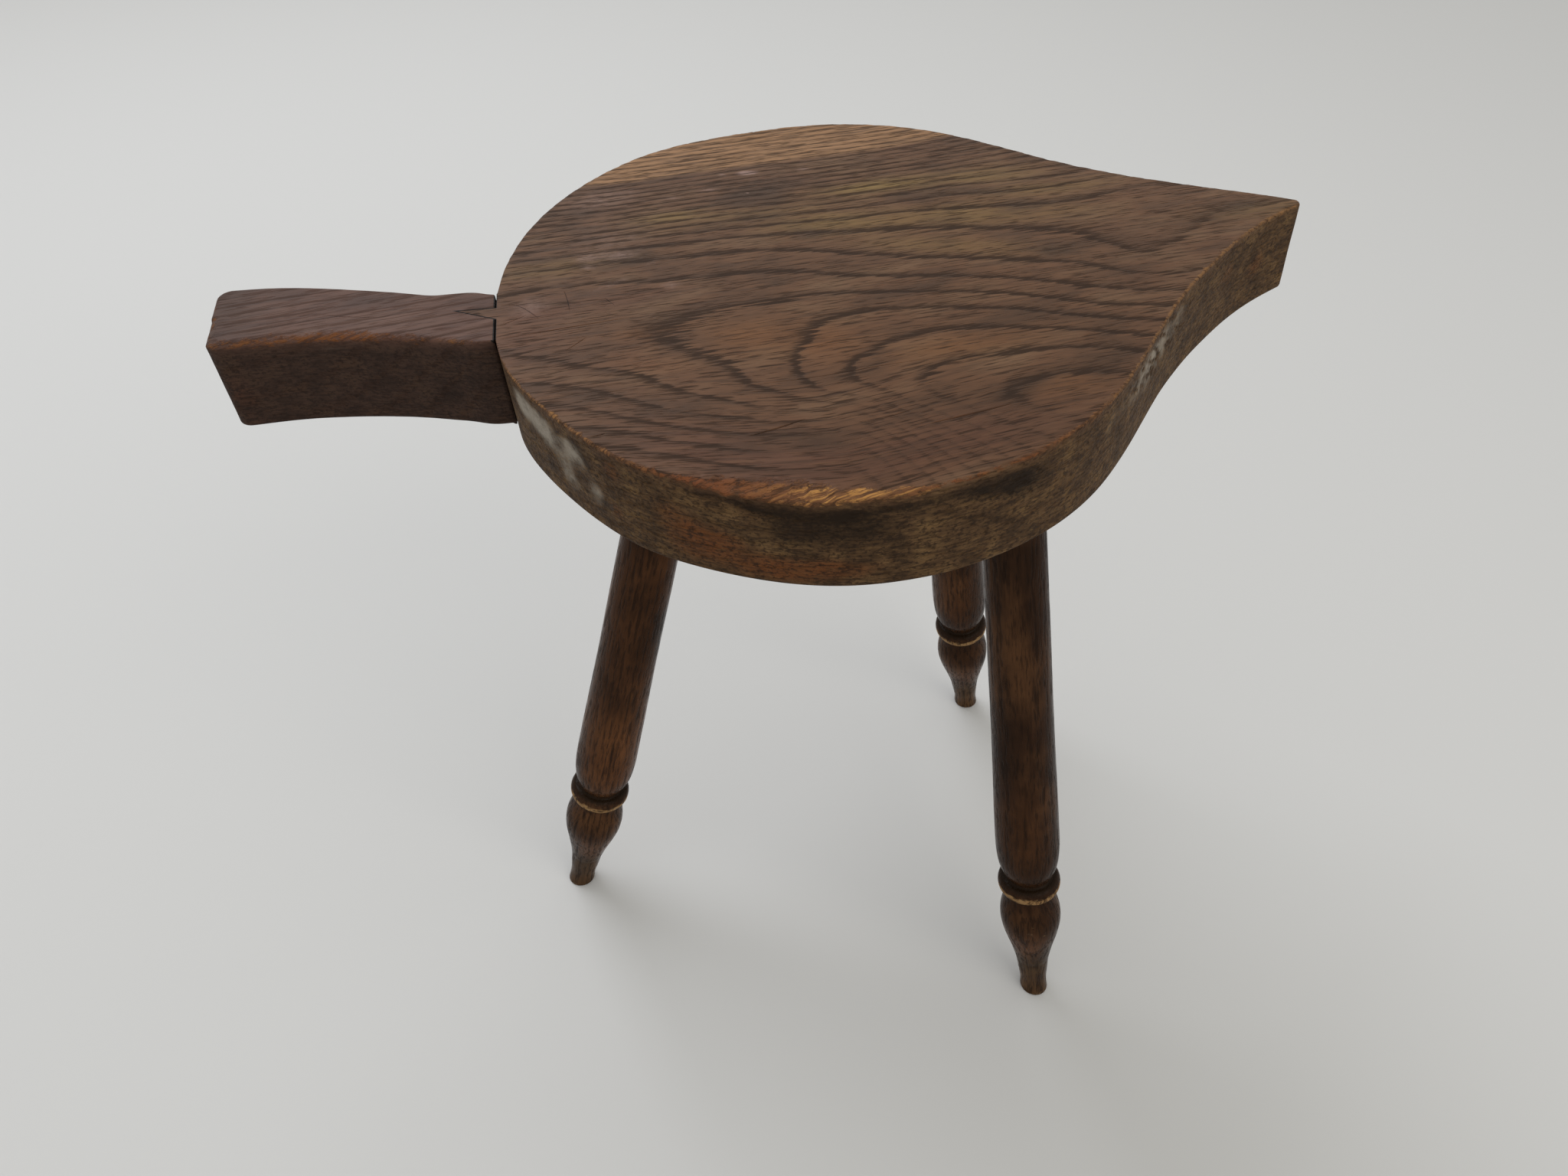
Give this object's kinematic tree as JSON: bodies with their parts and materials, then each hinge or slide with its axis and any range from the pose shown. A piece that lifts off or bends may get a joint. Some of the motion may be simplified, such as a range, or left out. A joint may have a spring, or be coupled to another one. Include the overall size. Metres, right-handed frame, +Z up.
{
  "type": "stool",
  "caption": "Low wooden stool with a thick leaf-shaped seat, a curved stalk handle and turned splayed legs.",
  "frame": {"origin": "on the floor under the middle of the bounding box", "axes": "+Z up from the floor, +X from the stalk's free end towards the leaf's tip, +Y towards the side with the back leg"},
  "size_m": [0.4584, 0.2962, 0.4255],
  "materials": {
    "seat_oak": "dark stained oak, worn satin",
    "stem_oak": "dark stained oak, worn satin",
    "leg_oak": "turned, dark stained and waxed"
  },
  "bodies": {
    "root": {"seat_plank": "seat_oak", "stem_block": "stem_oak", "leg_by_stem": "leg_oak", "leg_front": "leg_oak", "leg_back": "leg_oak"}
  },
  "joints": []
}
